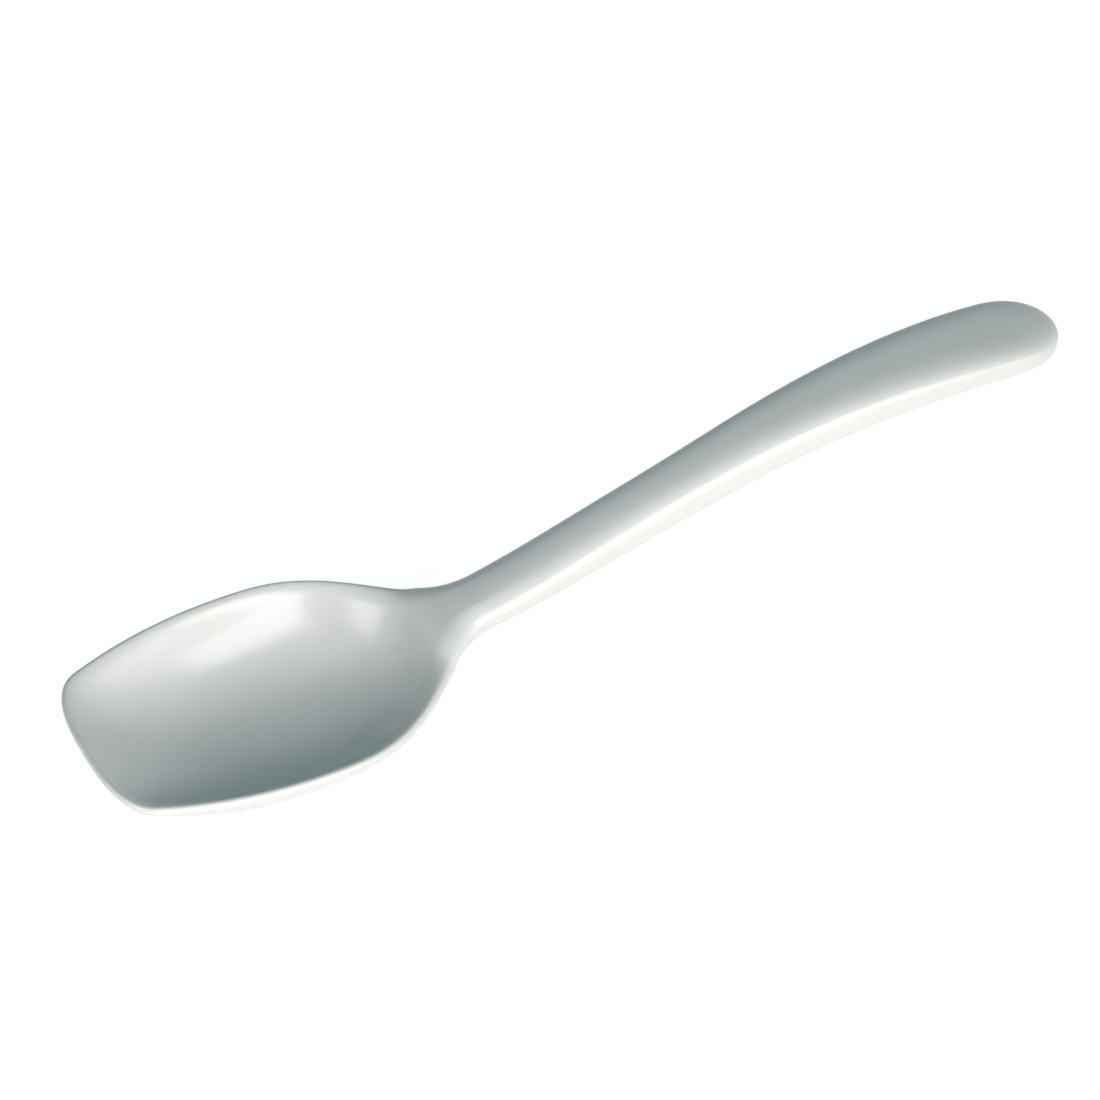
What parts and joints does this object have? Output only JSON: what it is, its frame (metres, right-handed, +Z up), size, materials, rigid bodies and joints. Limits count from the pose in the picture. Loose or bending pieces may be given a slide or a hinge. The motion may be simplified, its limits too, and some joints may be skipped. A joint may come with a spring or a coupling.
{
  "type": "serving spoon",
  "caption": "One-piece moulded white melamine serving spoon with a deep rounded bowl, bowed front edge, slim neck and arched handle with a round end.",
  "frame": {"origin": "on the table the spoon lies on, under the middle of its box", "axes": "+X from the bowl to the end of the handle, +Y across the bowl, +Z up from the table"},
  "size_m": [0.2506, 0.0616, 0.0339],
  "materials": {
    "melamine": "moulded white melamine with a soft gloss"
  },
  "bodies": {
    "root": {"spoon": "melamine"}
  },
  "joints": []
}
